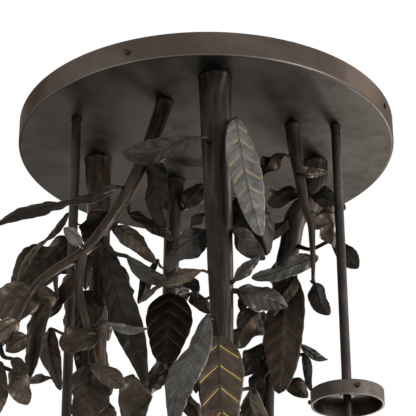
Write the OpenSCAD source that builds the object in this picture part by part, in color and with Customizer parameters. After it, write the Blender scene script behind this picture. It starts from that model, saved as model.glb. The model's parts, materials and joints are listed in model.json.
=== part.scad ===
// Ceiling light: a wide round canopy, six metal branches with embossed metal leaves,
// and three straight rods that carry shade galleries with lampholders under them.
// The origin is the centre of the ceiling face. Everything hangs below it.

/* [Canopy] */
// Outside diameter of the canopy pan
canopy_d = 610; // [600:5:700]
// Height of the canopy rim
canopy_h = 40; // [36:1:60]
// Sheet thickness of the canopy pan
canopy_wall = 1.6; // [1.2:0.2:2.4]
// Outside radius of the rolled lower edge
canopy_edge_r = 4; // [3:0.5:8]

/* [Ceiling bracket] */
// Width of each bracket arm
arm_w = 30; // [24:1:40]
// Thickness of the bracket strip
arm_t = 2.5; // [2:0.5:4]
// Diameter of the bracket's middle disc
disc_d = 150; // [140:5:170]
// Distance between the two ceiling box holes
box_hole_spacing = 88.9; // [80:0.1:100]
// Diameter of each ceiling box hole
box_hole_d = 5.2; // [4.6:0.1:6]
// Diameter of the wire entry in the middle
wire_entry_d = 22; // [16:1:30]
// Gap between a bracket tab and the canopy rim
tab_gap = 0.8; // [0.6:0.1:1.5]

/* [Canopy side screws] */
// Direction of the first side screw
side_screw_angle = 67.5; // [60:0.5:75]
// Depth of the side screws below the ceiling
side_screw_drop = 20; // [16:1:22]
// Thread diameter of a side screw
side_screw_d = 4.9; // [4:0.1:6]
// Head diameter of a side screw
side_head_d = 9; // [8:0.5:12]
// Head height of a side screw
side_head_h = 2.4; // [2:0.2:4]
// Shank length of a side screw
side_shank = 9; // [8:0.5:14]

/* [Rods] */
// Wall of a rod round the stem that screws into it
rod_wall = 1.2; // [1:0.1:3]
// Left rod's place across the canopy
left_rod_x = -203; // [-215:1:-195]
// Left rod's place from front to back
left_rod_y = -116; // [-124:1:-108]
// Right rod's place across the canopy
right_rod_x = 205; // [198:1:212]
// Right rod's place from front to back
right_rod_y = -89; // [-96:1:-82]
// Back rod's place across the canopy
back_rod_x = 18; // [-40:1:60]
// Back rod's place from front to back
back_rod_y = 235; // [200:1:260]
// Distance from the canopy down to the left gallery
left_rod_drop = 560; // [520:5:620]
// Distance from the canopy down to the right gallery
right_rod_drop = 445; // [420:1:480]
// Distance from the canopy down to the back gallery
back_rod_drop = 650; // [600:5:700]
// Length of a rod's threaded end past its lock nut
rod_spare = 8.4; // [2:0.1:12]
// Wall of the collar under the canopy
collar_wall = 1.2; // [1:0.1:5]
// Height of the collar under the canopy
collar_h = 9; // [6:1:20]
// Height of a rod's lock nut
rod_nut_h = 8; // [6:1:10]
// Width of a lock nut's rim round the rod, at its corners
rod_nut_rim = 6.8; // [5:0.1:10]

/* [Galleries] */
// Thickness of a gallery's wall
gallery_wall = 3.2; // [2.4:0.2:6]
// Height of a gallery
gallery_h = 22; // [20:1:40]
// Bore of a gallery, for a shade with a four inch fitter
gallery_bore = 101.6; // [98:0.2:104]
// Thickness of a gallery's top
gallery_top = 2.5; // [2:0.5:4]
// Radius of a gallery's top edge
gallery_edge_r = 2; // [1:0.5:3]
// Height of the thumb screws above a gallery's rim
thumb_h = 12; // [8:1:13]
// Direction of the first thumb screw
thumb_angle = 41; // [0:1:119]
// Thread diameter of a thumb screw
thumb_d = 4; // [3:0.1:5]
// Head diameter of a thumb screw
thumb_head_d = 6; // [6:0.5:10]
// Head length of a thumb screw
thumb_head_l = 5; // [4:0.5:8]
// How far a thumb screw reaches into the bore
thumb_reach = 5; // [3:0.5:7]

/* [Stems and lampholders] */
// Outside diameter of a stem
stem_d = 12; // [10:0.5:14]
// Wall of a stem
stem_wall = 1.5; // [1:0.1:2]
// Length of stem held inside the rod
stem_grip = 25; // [15:1:40]
// Distance from a gallery's rim down to the lampholder cap
stem_drop = 26; // [20:1:60]
// Rim of the nut that holds a gallery
gallery_nut_rim = 5; // [3:0.5:9]
// Height of the nut that holds a gallery
gallery_nut_h = 5; // [4:1:8]
// Wall of a lampholder
holder_wall = 4.6; // [3.6:0.2:8]
// Height of a lampholder's cap
cap_h = 16; // [14:1:24]
// Thickness of a lampholder's floor, behind its bore
holder_floor = 8; // [4:1:14]
// Bore of a lampholder, for a 26 mm screw cap
holder_bore = 26.8; // [26.6:0.1:28]
// Depth of a lampholder's bore
holder_depth = 34; // [26:1:36]

/* [Branch studs] */
// Diameter of a branch's stud
stud_d = 10; // [8:1:12]
// Length of a stud past its nut
stud_spare = 3.4; // [1:0.2:6]
// Washer diameter
washer_d = 30; // [24:1:36]
// Washer thickness
washer_t = 2; // [1:0.5:3]
// Nut height
nut_h = 8; // [6:1:9]
// Nut width across its corners
nut_d = 19; // [17:1:24]

/* [Branch thickness] */
// Trunk diameter at the canopy
trunk_top_d = 49; // [40:1:56]
// Trunk diameter at its end
trunk_end_d = 24; // [16:1:32]
// Left branch diameter at the canopy
left_top_d = 26; // [20:1:32]
// Left branch diameter at its end
left_end_d = 8; // [5:1:12]
// Back left branch diameter at the canopy
back_left_top_d = 43; // [34:1:50]
// Back left branch diameter at its end
back_left_end_d = 18; // [12:1:24]
// Middle branch diameter at the canopy
middle_top_d = 32; // [26:1:40]
// Middle branch diameter at its end
middle_end_d = 14; // [10:1:20]
// Thin branch diameter at the canopy
thin_top_d = 24; // [20:1:30]
// Thin branch diameter at its end
thin_end_d = 5; // [4:1:10]
// Thick right branch diameter at the canopy
thick_top_d = 41; // [34:1:46]
// Thick right branch diameter at its end
thick_end_d = 16; // [10:1:24]
// Diameter of the forked twig at its root
twig_top_d = 15; // [12:1:18]
// Diameter of the forked twig at its end
twig_end_d = 5; // [4:1:8]

/* [Leaves] */
// Thickness of a leaf along its midrib
leaf_t = 1.6; // [1:0.2:3]
// Diameter of a leaf's stem
leaf_stem_d = 4; // [2.4:0.2:5]
// How far the halves of a leaf fold back, as a part of its width
leaf_fold = 0.12; // [0:0.02:0.3]
// How deep a leaf's stem is brazed into its branch
braze = 2; // [1:0.5:4]

/* [Terminals] */
// Distance between two wire holes of the terminal block
wire_pitch = 13; // [10:0.5:18]
// Distance from the last wire hole to the end of the block
block_end = 9; // [6:0.5:14]
// Width of the terminal block
block_w = 20; // [16:1:26]
// Height of the terminal block
block_h = 14; // [12:1:18]
// Bore of each wire hole in the block
wire_hole_d = 4.5; // [3.5:0.5:5]
// Thickness of the block under its wire holes
block_floor = 2.8; // [2:0.2:4]
// Diameter of each terminal screw
terminal_screw_d = 4; // [3:0.5:5]
// Diameter of the ground screw
ground_screw_d = 4; // [3:0.5:6]
// Width of the ground screw's head across its corners
ground_head_d = 8; // [7:0.5:11]
// Height of the ground screw's head
ground_head_h = 3; // [2:0.5:5]

/* [Hidden] */
$fn = 48;

// Clearances that more than one piece shares
thread_gap = 0.05;
slip_gap = 0.15;
head_gap = 0.4;

// Small sizes of the fasteners
tab_below_screw = 8;
socket_d = 4.5;
socket_depth = 1.4;
slot_w = 0.8;
slot_depth = 1.3;
terminal_web = 1.2;
terminal_seat = 0.2;
holder_rim = 3;
holder_step = 1.5;
holder_collar_h = 12.6;
cut = 1;

canopy_r = canopy_d / 2;
rim_in_r = canopy_r - canopy_wall;
floor_z = -canopy_h + canopy_wall;
tab_r = rim_in_r - tab_gap;
tab_drop = side_screw_drop + tab_below_screw;
stem_bore = stem_d - 2 * stem_wall;
rod_bore = stem_d + 2 * thread_gap;
rod_d = rod_bore + 2 * rod_wall;
rod_thread = canopy_wall + rod_nut_h + rod_spare;
rod_nut_d = rod_d + 2 * rod_nut_rim;
collar_bore = rod_d + 2 * thread_gap;
collar_d = collar_bore + 2 * collar_wall;
gallery_d = gallery_bore + 2 * gallery_wall;
gallery_nut_d = stem_d + 2 * gallery_nut_rim;
thumb_len = thumb_reach + gallery_wall + head_gap;
cap_seat = cap_h / 2;
holder_d = holder_bore + 2 * holder_wall;
holder_h = holder_floor + holder_depth;
stud_h = canopy_wall + washer_t + nut_h + stud_spare;
block_l = 2 * (wire_pitch + block_end);
wire_hole_z = block_floor + wire_hole_d / 2;
terminal_screw_z = block_floor + wire_hole_d + terminal_web;
block_at = [60, 120];
ground_at = [0, 52];

bronze = [0.27, 0.24, 0.22];
steel = [0.62, 0.62, 0.60];
brown = [0.24, 0.19, 0.16];
grey = [0.30, 0.29, 0.28];
green = [0.2, 0.45, 0.25];
ivory = [0.85, 0.84, 0.80];
brass = [0.75, 0.62, 0.35];
black = [0.12, 0.12, 0.12];

// Routes of the branches, measured down from the canopy's underside
trunk_route = [[14, -237, 0], [15, -237, -116], [20, -237, -329], [21, -238, -431], [24, -234, -594]];
left_route = [[-63, -168, 0], [-82, -172, -68], [-110, -190, -153], [-145, -200, -225],
    [-180, -200, -270], [-219, -200, -298], [-242, -200, -319], [-256, -200, -342], [-275, -202, -388],
    [-288, -205, -412], [-308, -205, -428]];
twig_route = [[-181, -200, -274], [-184, -200, -307], [-183, -198, -335], [-169, -194, -390],
    [-157, -190, -452], [-157, -190, -490]];
back_left_route = [[-177, 22, 0], [-173, 22, -148], [-171, 24, -249], [-170, 24, -370], [-166, 24, -512]];
middle_route = [[-52, 98, 0], [-57, 98, -103], [-60, 98, -217], [-57, 98, -353], [-50, 97, -494]];
thin_route = [[137, -92, 0], [138, -92, -25], [143, -94, -75], [148, -96, -115], [153, -98, -152],
    [160, -100, -177], [161, -100, -213], [161, -100, -248], [160, -100, -273]];
thick_route = [[180, 36, 0], [180, 36, -24], [172, 32, -57], [158, 24, -87], [142, 14, -116],
    [133, 6, -163], [125, 4, -195], [118, 4, -258], [99, 4, -326], [92, 4, -392],
    [90, 4, -471], [88, 4, -552]];

// Each leaf: place along its branch, stem, blade, width, roll, bow, sway, fullness, and where it
// is not the usual, peak. The place counts route points, the stem and the blade are vectors,
// and roll turns the blade's face from the front towards one side. A larger peak moves the
// widest part towards the tip.
trunk_upper_rows = [
    [1.02, [-18, -35, 0], [-120, 40, -4], 34, -20, 6, -6, 0.5, 1.5],
    [1.60, [-20, 20, 0], [-55, 5, -65], 42, 20, 8, 0, 0.8],
    [1.50, [-20, 20, 5], [-20, 10, -22], 18, 50, 6, 0, 0.7],
    [0.72, [30, -25, 0], [32, -16, -200], 46, -10, 12, 8, 0.5],
    [1.35, [30, 15, 0], [40, 10, -92], 56, 10, 8, 0, 0.6],
    [1.65, [20, -12, -5], [45, 0, -46], 30, 30, 4, 0, 0.7]];
trunk_lower_rows = [
    [2.20, [22, -5, 0], [72, 15, -20], 36, 10, 4, 0, 0.8],
    [2.10, [18, -14, 0], [37, -12, 32], 16, 20, 2, 0, 0.7],
    [2.66, [-20, -24, 0], [-50, -24, -172], 44, 15, 10, 0, 0.6, 1.1],
    [2.96, [-5, -25, 0], [10, -15, -165], 64, 0, 14, 4, 0.55],
    [1.97, [-26, -13, 0], [-90, 10, -46], 22, 30, 6, 6, 0.7],
    [2.25, [-35, 15, 0], [-20, 20, 45], 20, 30, 4, 0, 0.7],
    [2.17, [34, 6, 0], [-5, 6, -32], 14, 0, 3, 0, 0.7],
    [3.35, [39, 17, 0], [12, -10, -79], 30, 20, 6, 0, 0.6],
    [3.75, [20, -10, -4], [75, -40, -60], 44, 20, 8, 0, 0.7],
    [3.82, [-20, -6, -4], [-80, -20, -60], 42, -15, 8, 0, 0.7],
    [3.92, [4, 20, -4], [20, 75, -60], 44, 0, 8, 0, 0.7],
    [4.00, [2, -4, -10], [8, -16, -85], 38, 0, 6, 0, 0.7]];
left_upper_rows = [
    [2.10, [-17, -18, -8], [-181, -22, -79], 25, 10, 8, -3, 0.5],
    [2.50, [-6, 17, -29], [58, 10, -55], 30, -10, 8, 0, 0.6],
    [2.80, [-4, 24, -1], [31, 10, -33], 13, 20, 3, 0, 0.7],
    [1.50, [12, -13, -1], [25, 6, -116], 34, 15, 8, 0, 0.45],
    [3.20, [6, 12, -17], [63, 22, -215], 40, 10, 10, 4, 0.6],
    [3.35, [42, -8, -40], [78, -8, -53], 20, 20, 6, 8, 0.7],
    [2.20, [3, 22, -26], [63, 26, -31], 28, -20, 6, 0, 0.6],
    [4.05, [2, -22, 4], [-26, -8, 22], 22, 10, 2, 0, 0.8]];
left_lower_rows = [
    [5.00, [2, 20, -35], [-103, -4, -14], 52, 5, 4, 0, 0.55],
    [7.90, [7, -13, -2], [-45, -7, -38], 28, 5, 4, 0, 0.7],
    [6.53, [22, 8, -13], [-24, 8, -122], 35, 20, 4, 6, 0.7, 0.65],
    [8.28, [25, -11, -12], [-27, -10, -27], 26, 0, 2, 0, 0.8],
    [9.70, [28, -10, -35], [27, -7, -54], 33, 0, 4, 0, 0.6],
    [9.30, [22, -20, -28], [23, -10, -27], 20, 0, 2, 0, 0.8],
    [9.85, [19, -17, -26], [-3, -4, -81], 24, 0, 4, 0, 0.7],
    [8.20, [-10, 12, 6], [-60, 10, -14], 34, 0, 6, 0, 0.7],
    [9.00, [-6, 14, 6], [-60, 50, 10], 34, 20, 6, 0, 0.7],
    [10.00, [-8, 6, -4], [-50, 10, -60], 34, 0, 6, 0, 0.7],
    [4.45, [8, 26, -12], [-42, 30, -44], 34, 20, 6, 0, 0.6]];
twig_rows = [
    [3.20, [10, -13, 1], [-50, -8, -20], 40, 0, 4, 0, 0.5],
    [2.88, [26, -11, 2], [63, -6, -12], 12, 40, 4, 6, 0.7],
    [3.85, [2, -9, -4], [-16, 8, -83], 56, 0, 4, 0, 0.5],
    [3.45, [4, -30, -35], [46, -14, -38], 28, 0, 4, 0, 0.6],
    [3.60, [5, -22, -24], [-32, -4, -44], 10, 0, 2, 0, 0.8],
    [4.60, [4, 10, -2], [20, 36, -60], 32, 20, 6, 0, 0.7],
    [5.00, [2, 4, -10], [10, 24, -70], 34, 0, 6, 0, 0.7]];
back_left_rows = [
    [0.88, [-43, -67, 0], [-65, -70, -155], 15, 20, 4, 6, 0.8],
    [1.15, [-40, -40, 0], [-85, -30, -95], 72, 0, 8, -6, 0.5],
    [0.75, [15, -34, -1], [-27, -30, -77], 50, 0, 6, 0, 0.5],
    [2.08, [-2, -56, 0], [-31, -30, -92], 56, 0, 8, 0, 0.5],
    [2.00, [-30, -44, 8], [-12, -34, -98], 26, 20, 6, 0, 0.6],
    [2.45, [-70, -40, -10], [22, -46, -117], 28, 0, 4, 6, 0.6],
    [3.15, [56, -50, -4], [8, -10, -109], 50, 0, 8, 0, 0.55],
    [2.20, [-54, -54, 0], [-43, -20, -43], 26, 0, 4, 0, 0.6],
    [3.20, [-60, -54, -4], [-46, -26, -18], 15, 30, 3, 5, 0.7],
    [2.50, [0, 20, 0], [-10, 90, -40], 36, 0, 8, 0, 0.7],
    [1.80, [6, 22, 0], [5, 75, -50], 34, 0, 6, 0, 0.7],
    [3.70, [-12, -14, -4], [-50, -30, -70], 40, 0, 6, 0, 0.7],
    [3.80, [14, 8, -4], [45, 40, -65], 38, 0, 6, 0, 0.7],
    [3.90, [-6, 14, -2], [-40, 55, -50], 36, 0, 6, 0, 0.7],
    [4.00, [0, -2, -10], [4, -10, -80], 34, 0, 6, 0, 0.7],
    [1.50, [26, -30, 0], [24, -20, -80], 34, -20, 6, 0, 0.6],
    [1.38, [-16, -43, 0], [-1, 0, -65], 19, 0, 6, 0, 0.6],
    [2.73, [-17, -59, -1], [-6, 0, -58], 23, 0, 6, 0, 0.6]];
middle_rows = [
    [2.00, [1, -25, 0], [-5, -15, -127], 70, 0, 6, 0, 0.4],
    [2.95, [5, -30, 0], [-40, -10, -40], 20, 20, 4, 0, 0.7],
    [0.55, [20, -16, 0], [30, -15, 35], 34, 0, 4, 0, 0.7],
    [2.05, [35, -30, 5], [30, -10, -40], 26, 0, 4, 0, 0.7],
    [1.57, [-21, -50, 0], [-30, -24, -89], 19, 20, 4, 0, 0.6],
    [3.00, [45, -48, 0], [-6, -6, -45], 22, 0, 4, 0, 0.7],
    [1.40, [0, 18, 0], [20, 75, -35], 34, 0, 6, 0, 0.7],
    [2.60, [-4, 16, 0], [-30, 70, -50], 34, 0, 6, 0, 0.7],
    [3.20, [10, -12, 0], [35, -30, -60], 36, 0, 6, 0, 0.7],
    [3.60, [-14, 4, 0], [-55, 10, -60], 38, 0, 6, 0, 0.7],
    [3.80, [6, 12, 0], [25, 60, -55], 36, 0, 6, 0, 0.7],
    [4.00, [0, 0, -10], [0, -8, -80], 34, 0, 6, 0, 0.7]];
thin_rows = [
    [1.68, [-20, -13, 0], [-38, -8, -46], 26, 20, 4, 4, 0.7],
    [2.40, [-8, -18, 0], [52, 5, 0], 16, 70, 3, 0, 0.7],
    [2.75, [-5, 20, -3], [-46, -5, -25], 40, 0, 5, 0, 0.5],
    [4.45, [5, 14, 0], [48, 26, 25], 32, 0, 4, 0, 0.6],
    [5.00, [14, 16, 1], [37, 26, -12], 32, 0, 3, 0, 0.5],
    [6.25, [9, 20, -4], [-102, -4, -35], 30, 15, 4, -7, 0.5],
    [8.00, [2, 0, -4], [20, 0, -52], 28, 10, 3, 4, 0.6]];
thick_upper_rows = [
    [2.55, [12, -24, 0], [44, -30, -42], 32, 20, 8, 0, 0.6],
    [4.60, [-10, -36, 8], [-30, -10, -40], 19, 0, 4, 0, 0.7],
    [6.50, [0, -35, 2], [-15, -20, -210], 60, 0, 10, -5, 0.5],
    [6.20, [14, -55, -36], [-38, -10, -70], 24, 30, 4, 0, 0.7],
    [7.55, [-25, -25, 10], [-39, -10, -68], 46, 0, 6, 0, 0.6],
    [5.12, [62, -50, -12], [42, 7, -45], 28, 0, 4, 0, 0.7, 1.2],
    [5.50, [-4, 24, 0], [-10, 75, -30], 36, 0, 6, 0, 0.7],
    [7.20, [4, 18, 0], [10, 70, -50], 36, 0, 6, 0, 0.7]];
thick_lower_rows = [
    [8.35, [-13, -25, 6], [-30, -5, -56], 30, 0, 4, 0, 0.7],
    [8.05, [45, -25, -16], [40, -5, -25], 14, 20, 3, 4, 0.7],
    [8.38, [49, -36, -13], [11, -14, -67], 14, 20, 4, -2, 0.7],
    [9.05, [30, -25, -5], [29, -5, -31], 26, 0, 3, 0, 0.6],
    [8.60, [-3, -25, 1], [-24, -5, -62], 26, 20, 4, 0, 0.7],
    [8.95, [-10, -22, 1], [-19, -5, -80], 22, 20, 4, 0, 0.7],
    [9.60, [-12, 4, -2], [-60, 10, -45], 38, 0, 6, 0, 0.7],
    [10.20, [14, 6, 0], [55, 30, -55], 40, 0, 6, 0, 0.7],
    [10.50, [-12, 10, 0], [-50, 50, -50], 38, 0, 6, 0, 0.7],
    [11.00, [-2, -2, -10], [-8, -10, -85], 38, 0, 6, 0, 0.7]];

branch_tops = [trunk_route[0], left_route[0], back_left_route[0], middle_route[0], thin_route[0],
    thick_route[0]];
rods = [[left_rod_x, left_rod_y], [right_rod_x, right_rod_y], [back_rod_x, back_rod_y]];
drops = [left_rod_drop, right_rod_drop, back_rod_drop];

branch_sides = 10;
blade_steps = [0.14, 0.34, 0.58, 0.82];
usual_peak = 0.85;

function unit(v) = v / norm(v);

// Point on a route, where place counts its points
function on_route(route, place) =
    let (i = min(floor(place), len(route) - 2), f = place - i)
    route[i] * (1 - f) + route[i + 1] * f;

// Length of a route up to point i
function run_to(route, i) = i <= 0 ? 0 : run_to(route, i - 1) + norm(route[i] - route[i - 1]);

function share(route, place) =
    let (i = min(floor(place), len(route) - 2), f = place - i, last = len(route) - 1)
    (run_to(route, i) * (1 - f) + run_to(route, i + 1) * f) / run_to(route, last);

function radius_at(route, top_d, end_d, place) =
    (top_d + (end_d - top_d) * share(route, place)) / 2;

// Direction of a route at point i. The first ring lies flat against the canopy.
function heading(route, i) =
    i == 0 ? [0, 0, -1]
    : i == len(route) - 1 ? unit(route[i] - route[i - 1])
    : unit(unit(route[i] - route[i - 1]) + unit(route[i + 1] - route[i]));

// Arc from one angle to another, as points
function arc(c, r, a0, a1, steps) =
    [for (k = [0 : steps]) let (a = a0 + (a1 - a0) * k / steps) c + r * [cos(a), sin(a)]];

// A tapered branch swept along its route
module branch_rod(route, top_d, end_d) {
    n = branch_sides;
    count = len(route);
    points = [for (i = [0 : count - 1])
        let (d = heading(route, i), x = unit(cross([0, 1, 0], d)), y = cross(d, x),
            r = radius_at(route, top_d, end_d, i))
        for (k = [0 : n - 1]) route[i] + r * (cos(360 * k / n) * x + sin(360 * k / n) * y)];
    walls = [for (i = [0 : count - 2], k = [0 : n - 1])
        let (a = i * n + k, b = i * n + (k + 1) % n)
        for (face = [[a, b + n, b], [a, a + n, b + n]]) face];
    top_cap = [for (k = [1 : n - 2]) [0, k, k + 1]];
    last = (count - 1) * n;
    end_cap = [for (k = [1 : n - 2]) [last, last + k + 1, last + k]];
    under_canopy() polyhedron(points, concat(walls, top_cap, end_cap));
}

module under_canopy() {
    translate([0, 0, -canopy_h]) children();
}

// Turns v by the shortest turn that takes direction a to direction c
function carry(v, a, c) = v - (a + c) * (((a + c) * v) / (1 + a * c)) + c * (2 * (a * v));

// The four corners of a leaf's stem
function diamond(at, x, y) =
    let (r = leaf_stem_d / 2)
    [at + r * x, at + r * y, at - r * x, at - r * y];

// A leaf with its stem: four corners to each ring, closed by the tip
module leaf(route, top_d, end_d, row) {
    root = on_route(route, row[0]);
    base = root + row[1];
    blade = row[2];
    w = row[3];
    roll = row[4];
    bow = row[5];
    sway = row[6];
    full = row[7];
    peak = len(row) > 8 ? row[8] : usual_peak;
    d = unit(blade);
    front = unit([0, -1, 0] + d[1] * d);
    n = cos(roll) * front + sin(roll) * cross(d, front);
    side = cross(d, n);
    stem_dir = unit(row[1]);
    bend = unit(stem_dir + d);
    reach = row[0] < len(route) - 1 ? radius_at(route, top_d, end_d, row[0]) : 0;
    start = root + stem_dir * (reach - braze);
    stem_ring = diamond(start, carry(side, d, stem_dir), carry(n, d, stem_dir));
    base_ring = diamond(base, carry(side, d, bend), carry(n, d, bend));
    rings = [for (u = blade_steps)
        let (mid = base + blade * u + (bow * n + sway * side) * 4 * u * (1 - u),
            half = w / 2 * pow(sin(180 * pow(u, peak)), full),
            edge = -leaf_fold * half * n)
        for (p = [mid + half * side + edge, mid + leaf_t / 2 * n, mid - half * side + edge,
            mid - leaf_t / 2 * n]) p];
    points = concat(stem_ring, base_ring, rings, [base + blade]);
    ring_count = len(blade_steps) + 2;
    tip = ring_count * 4;
    walls = [for (i = [0 : ring_count - 2], k = [0 : 3])
        let (a = i * 4 + k, b = i * 4 + (k + 1) % 4)
        for (face = [[a, b, b + 4], [a, b + 4, a + 4]]) face];
    tip_cap = [for (k = [0 : 3]) [tip - 4 + k, tip - 4 + (k + 1) % 4, tip]];
    stem_cap = [[0, 2, 1], [0, 3, 2]];
    under_canopy() polyhedron(points, concat(walls, tip_cap, stem_cap));
}

module leaves(route, top_d, end_d, rows) {
    for (row = rows) leaf(route, top_d, end_d, row);
}

module canopy_pan() {
    edge = canopy_edge_r;
    in_edge = canopy_edge_r - canopy_wall;
    corner = [canopy_r - edge, -canopy_h + edge];
    outline = concat([[0, -canopy_h]], arc(corner, edge, -90, 0, 6), [[canopy_r, 0], [rim_in_r, 0]],
        arc(corner, in_edge, 0, -90, 6), [[0, floor_z]]);
    color(bronze) difference() {
        rotate_extrude($fn = 180) polygon(outline);
        for (p = branch_tops) floor_hole(p, stud_d);
        for (p = rods) floor_hole(p, rod_d);
        for (k = [0 : 3]) at_side_screw(k) translate([0, 0, -canopy_wall - cut])
            cylinder(d = side_screw_d + 4 * slip_gap, h = canopy_wall + 2 * cut);
    }
}

// A hole through the canopy's floor that a part of diameter d passes through
module floor_hole(p, d) {
    translate([p[0], p[1], -canopy_h - cut]) cylinder(d = d + 2 * slip_gap, h = canopy_wall + 2 * cut);
}

// Frame of side screw k: z points outwards from the rim's outer face
module at_side_screw(k) {
    rotate([0, 0, side_screw_angle + 90 * k]) translate([canopy_r, 0, -side_screw_drop])
        rotate([0, 90, 0]) children();
}

module side_screw(k) {
    color(bronze) at_side_screw(k) {
        difference() {
            translate([0, 0, head_gap]) cylinder(d = side_head_d, h = side_head_h);
            translate([0, 0, head_gap + side_head_h - socket_depth])
                cylinder(d = socket_d, h = side_head_h, $fn = 6);
        }
        translate([0, 0, head_gap - side_shank]) cylinder(d = side_screw_d, h = side_shank);
    }
}

module ceiling_bracket() {
    color(steel) difference() {
        union() {
            translate([0, 0, -arm_t]) cylinder(d = disc_d, h = arm_t);
            for (k = [0 : 3]) rotate([0, 0, side_screw_angle + 90 * k]) {
                translate([0, -arm_w / 2, -arm_t]) cube([tab_r, arm_w, arm_t]);
                translate([tab_r - arm_t, -arm_w / 2, -tab_drop]) cube([arm_t, arm_w, tab_drop]);
            }
        }
        bracket_hole([0, 0], wire_entry_d);
        for (x = [-1, 1]) bracket_hole([x * box_hole_spacing / 2, 0], box_hole_d);
        bracket_hole(ground_at, ground_screw_d + 2 * thread_gap);
        for (k = [0 : 3]) at_side_screw(k) translate([0, 0, -canopy_wall - tab_gap - arm_t - cut])
            cylinder(d = side_screw_d + 2 * thread_gap, h = arm_t + 2 * cut);
    }
}

module bracket_hole(p, d) {
    translate([p[0], p[1], -arm_t - cut]) cylinder(d = d, h = arm_t + 2 * cut);
}

module ground_screw() {
    color(green) translate([ground_at[0], ground_at[1], -arm_t]) {
        translate([0, 0, -ground_head_h]) cylinder(d = ground_head_d, h = ground_head_h, $fn = 6);
        cylinder(d = ground_screw_d, h = arm_t);
    }
}

// Places of the wire holes along the terminal block
function block_holes() = [for (k = [-1 : 1]) k * wire_pitch];

module terminal_block() {
    color(ivory) translate([block_at[0], block_at[1], floor_z]) difference() {
        translate([-block_l / 2, -block_w / 2, 0]) cube([block_l, block_w, block_h]);
        for (x = block_holes()) {
            translate([x, -block_w / 2 - cut, wire_hole_z]) rotate([-90, 0, 0])
                cylinder(d = wire_hole_d, h = block_w + 2 * cut);
            for (y = [-1, 1]) translate([x, y * block_w / 4, terminal_screw_z])
                cylinder(d = terminal_screw_d + 2 * thread_gap, h = block_h);
        }
    }
}

module terminal_screws() {
    h = block_h - terminal_screw_z - cut;
    color(brass) translate([block_at[0], block_at[1], floor_z])
        for (x = block_holes(), y = [-1, 1]) translate([x, y * block_w / 4, terminal_screw_z + terminal_seat])
            difference() {
                cylinder(d = terminal_screw_d, h = h);
                translate([-terminal_screw_d, -slot_w / 2, h - slot_depth])
                    cube([2 * terminal_screw_d, slot_w, block_h]);
            }
}

module rod(i) {
    p = rods[i];
    color(bronze) translate([p[0], p[1], -canopy_h - drops[i]]) difference() {
        cylinder(d = rod_d, h = drops[i] + rod_thread);
        translate([0, 0, -cut]) cylinder(d = rod_bore, h = drops[i] + rod_thread + 2 * cut);
    }
}

module rod_collar(i) {
    color(bronze) translate([rods[i][0], rods[i][1], -canopy_h - collar_h]) difference() {
        cylinder(d = collar_d, h = collar_h);
        translate([0, 0, -cut]) cylinder(d = collar_bore, h = collar_h + 2 * cut);
    }
}

module rod_nuts() {
    color(steel) for (p = rods) translate([p[0], p[1], floor_z]) difference() {
        cylinder(d = rod_nut_d, h = rod_nut_h, $fn = 6);
        translate([0, 0, -cut]) cylinder(d = rod_d + 2 * thread_gap, h = rod_nut_h + 2 * cut);
    }
}

// Frame of light i: the origin is the centre of its gallery's top face
module at_light(i) {
    translate([rods[i][0], rods[i][1], -canopy_h - drops[i]]) children();
}

module gallery(i) {
    r = gallery_d / 2;
    edge = gallery_edge_r;
    hole = stem_d / 2 + slip_gap;
    outline = concat([[hole, 0]], arc([r - edge, -edge], edge, 90, 0, 6),
        [[r, -gallery_h], [gallery_bore / 2, -gallery_h], [gallery_bore / 2, -gallery_top],
        [hole, -gallery_top]]);
    color(bronze) at_light(i) difference() {
        rotate_extrude($fn = 96) polygon(outline);
        for (k = [0 : 2]) at_thumb_screw(k) translate([0, 0, -r])
            cylinder(d = thumb_d + 2 * thread_gap, h = r + cut);
    }
}

// Frame of thumb screw k: z points outwards from the gallery's wall
module at_thumb_screw(k) {
    rotate([0, 0, thumb_angle + 120 * k]) translate([gallery_d / 2, 0, thumb_h - gallery_h])
        rotate([0, 90, 0]) children();
}

module thumb_screw(i, k) {
    color(bronze) at_light(i) at_thumb_screw(k) {
        translate([0, 0, head_gap - thumb_len]) cylinder(d = thumb_d, h = thumb_len);
        translate([0, 0, head_gap]) cylinder(d = thumb_head_d, h = thumb_head_l);
    }
}

module stem(i) {
    low = gallery_h + stem_drop + cap_seat;
    color(bronze) at_light(i) translate([0, 0, -low]) difference() {
        cylinder(d = stem_d, h = low + stem_grip);
        translate([0, 0, -cut]) cylinder(d = stem_bore, h = low + stem_grip + 2 * cut);
    }
}

module gallery_nuts() {
    color(bronze) for (i = [0 : len(rods) - 1]) at_light(i) translate([0, 0, -gallery_top - gallery_nut_h])
        difference() {
            cylinder(d = gallery_nut_d, h = gallery_nut_h);
            translate([0, 0, -cut]) cylinder(d = stem_d + 2 * thread_gap, h = gallery_nut_h + 2 * cut);
        }
}

// Frame of a lampholder: the origin is the centre of its cap's top
module at_holder(i) {
    at_light(i) translate([0, 0, -gallery_h - stem_drop]) children();
}

module holder_cap(i) {
    r = holder_d / 2;
    neck = stem_d / 2 + holder_rim;
    hole = stem_d / 2 + thread_gap;
    dome = [for (k = [0 : 6]) let (a = 90 - 15 * k)
        [neck + (r - neck) * cos(a), -cap_h + holder_rim + (cap_h - holder_rim) * sin(a)]];
    color(bronze) at_holder(i) rotate_extrude() polygon(concat([[hole, 0]], dome,
        [[r, -cap_h], [stem_bore / 2, -cap_h], [stem_bore / 2, -cap_seat], [hole, -cap_seat]]));
}

module lampholder(i) {
    r = holder_d / 2;
    skirt = r - holder_step;
    color(black) at_holder(i) translate([0, 0, -cap_h]) rotate_extrude()
        polygon([[0, 0], [r, 0], [r, -holder_collar_h], [skirt, -holder_collar_h - holder_step],
            [skirt, -holder_h], [holder_bore / 2, -holder_h], [holder_bore / 2, -holder_floor],
            [0, -holder_floor]]);
}

module branch_studs() {
    color(steel) for (p = branch_tops) translate([p[0], p[1], -canopy_h])
        cylinder(d = stud_d, h = stud_h);
}

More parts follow.
